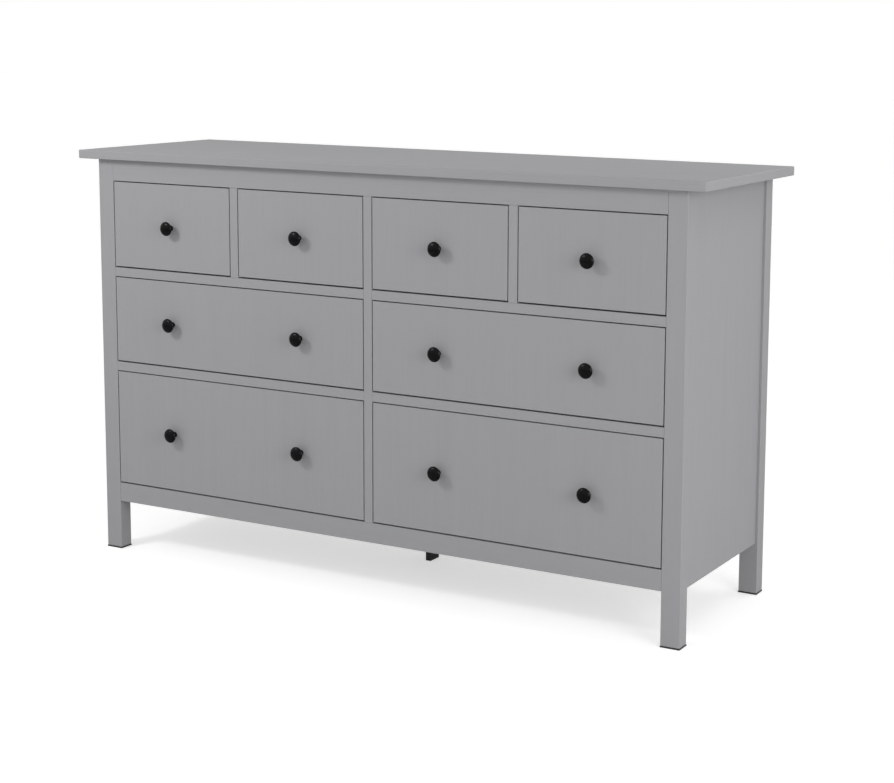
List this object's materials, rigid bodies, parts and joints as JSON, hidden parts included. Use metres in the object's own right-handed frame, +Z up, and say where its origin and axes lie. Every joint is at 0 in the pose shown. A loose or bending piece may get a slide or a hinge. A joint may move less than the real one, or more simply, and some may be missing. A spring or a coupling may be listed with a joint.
{
  "type": "chest of drawers",
  "caption": "Low, wide chest with inset drawers that slide out on roller runners, a slab top, square legs and round black knobs.",
  "frame": {"origin": "on the floor, under the middle of the bounding box of the closed chest with its knobs", "axes": "+X to the right seen from the front, +Y to the back, +Z up; drawers slide out along -Y"},
  "size_m": [1.6, 0.495, 0.96],
  "materials": {
    "grey_paint": "semi-matte mid grey paint over wood",
    "drawer_wood": "clear lacquered pale softwood",
    "grey_board": "thin painted fibreboard",
    "black_knob": "satin black paint",
    "black_plastic": "matte black"
  },
  "bodies": {
    "carcass": {"top_panel": "grey_paint", "leg_front_left": "grey_paint", "leg_front_right": "grey_paint", "leg_back_left": "grey_paint", "leg_back_right": "grey_paint", "glide_front_left": "black_plastic", "glide_front_right": "black_plastic", "glide_back_left": "black_plastic", "glide_back_right": "black_plastic", "side_panel_left": "grey_paint", "side_panel_right": "grey_paint", "top_rail": "grey_paint", "bottom_rail": "grey_paint", "cross_rail_upper_left": "grey_paint", "cross_rail_upper_right": "grey_paint", "cross_rail_lower_left": "grey_paint", "cross_rail_lower_right": "grey_paint", "centre_partition": "grey_paint", "divider_left": "grey_paint", "divider_right": "grey_paint", "back_panel": "grey_board", "back_rail_upper": "grey_paint", "back_rail_lower": "grey_paint", "centre_leg": "black_plastic"},
    "drawer_top_1": {"drawer_top_1_front": "grey_paint", "drawer_top_1_box": "drawer_wood", "drawer_top_1_bottom": "grey_board", "drawer_top_1_knob": "black_knob"},
    "drawer_top_2": {"drawer_top_2_front": "grey_paint", "drawer_top_2_box": "drawer_wood", "drawer_top_2_bottom": "grey_board", "drawer_top_2_knob": "black_knob"},
    "drawer_top_3": {"drawer_top_3_front": "grey_paint", "drawer_top_3_box": "drawer_wood", "drawer_top_3_bottom": "grey_board", "drawer_top_3_knob": "black_knob"},
    "drawer_top_4": {"drawer_top_4_front": "grey_paint", "drawer_top_4_box": "drawer_wood", "drawer_top_4_bottom": "grey_board", "drawer_top_4_knob": "black_knob"},
    "drawer_middle_left": {"drawer_middle_left_front": "grey_paint", "drawer_middle_left_box": "drawer_wood", "drawer_middle_left_bottom": "grey_board", "drawer_middle_left_knob_1": "black_knob", "drawer_middle_left_knob_2": "black_knob"},
    "drawer_bottom_left": {"drawer_bottom_left_front": "grey_paint", "drawer_bottom_left_box": "drawer_wood", "drawer_bottom_left_bottom": "grey_board", "drawer_bottom_left_knob_1": "black_knob", "drawer_bottom_left_knob_2": "black_knob"},
    "drawer_middle_right": {"drawer_middle_right_front": "grey_paint", "drawer_middle_right_box": "drawer_wood", "drawer_middle_right_bottom": "grey_board", "drawer_middle_right_knob_1": "black_knob", "drawer_middle_right_knob_2": "black_knob"},
    "drawer_bottom_right": {"drawer_bottom_right_front": "grey_paint", "drawer_bottom_right_box": "drawer_wood", "drawer_bottom_right_bottom": "grey_board", "drawer_bottom_right_knob_1": "black_knob", "drawer_bottom_right_knob_2": "black_knob"}
  },
  "joints": [
    {"name": "drawer_top_1_slide", "type": "slide", "parent": "carcass", "child": "drawer_top_1", "axis": [0, -1, 0], "range_m": [0, 0.3]},
    {"name": "drawer_top_2_slide", "type": "slide", "parent": "carcass", "child": "drawer_top_2", "axis": [0, -1, 0], "range_m": [0, 0.3]},
    {"name": "drawer_top_3_slide", "type": "slide", "parent": "carcass", "child": "drawer_top_3", "axis": [0, -1, 0], "range_m": [0, 0.3]},
    {"name": "drawer_top_4_slide", "type": "slide", "parent": "carcass", "child": "drawer_top_4", "axis": [0, -1, 0], "range_m": [0, 0.3]},
    {"name": "drawer_middle_left_slide", "type": "slide", "parent": "carcass", "child": "drawer_middle_left", "axis": [0, -1, 0], "range_m": [0, 0.3]},
    {"name": "drawer_bottom_left_slide", "type": "slide", "parent": "carcass", "child": "drawer_bottom_left", "axis": [0, -1, 0], "range_m": [0, 0.3]},
    {"name": "drawer_middle_right_slide", "type": "slide", "parent": "carcass", "child": "drawer_middle_right", "axis": [0, -1, 0], "range_m": [0, 0.3]},
    {"name": "drawer_bottom_right_slide", "type": "slide", "parent": "carcass", "child": "drawer_bottom_right", "axis": [0, -1, 0], "range_m": [0, 0.3]}
  ]
}
